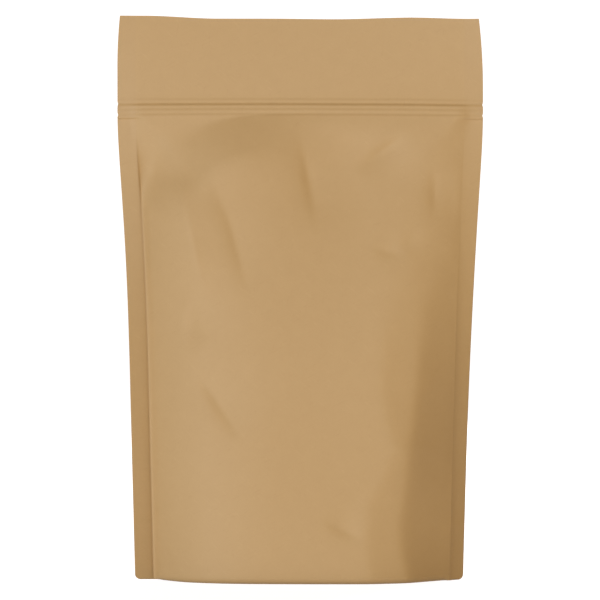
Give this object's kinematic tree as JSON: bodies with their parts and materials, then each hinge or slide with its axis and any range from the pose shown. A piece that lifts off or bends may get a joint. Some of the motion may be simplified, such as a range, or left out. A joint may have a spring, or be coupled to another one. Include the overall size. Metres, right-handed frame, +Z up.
{
  "type": "bag of maize flour",
  "caption": "Filled stand-up pouch of plain kraft paper with welded sides, a press-to-close zip under a flat header, and a folded gusset that it stands on.",
  "frame": {"origin": "on the floor, under the middle of the base", "axes": "+Z up from the base to the top edge, +X along the width to the viewer's right, front panel towards -Y"},
  "size_m": [0.16, 0.0474, 0.2477],
  "materials": {
    "kraft": "matte"
  },
  "bodies": {
    "root": {"pouch": "kraft"}
  },
  "joints": []
}
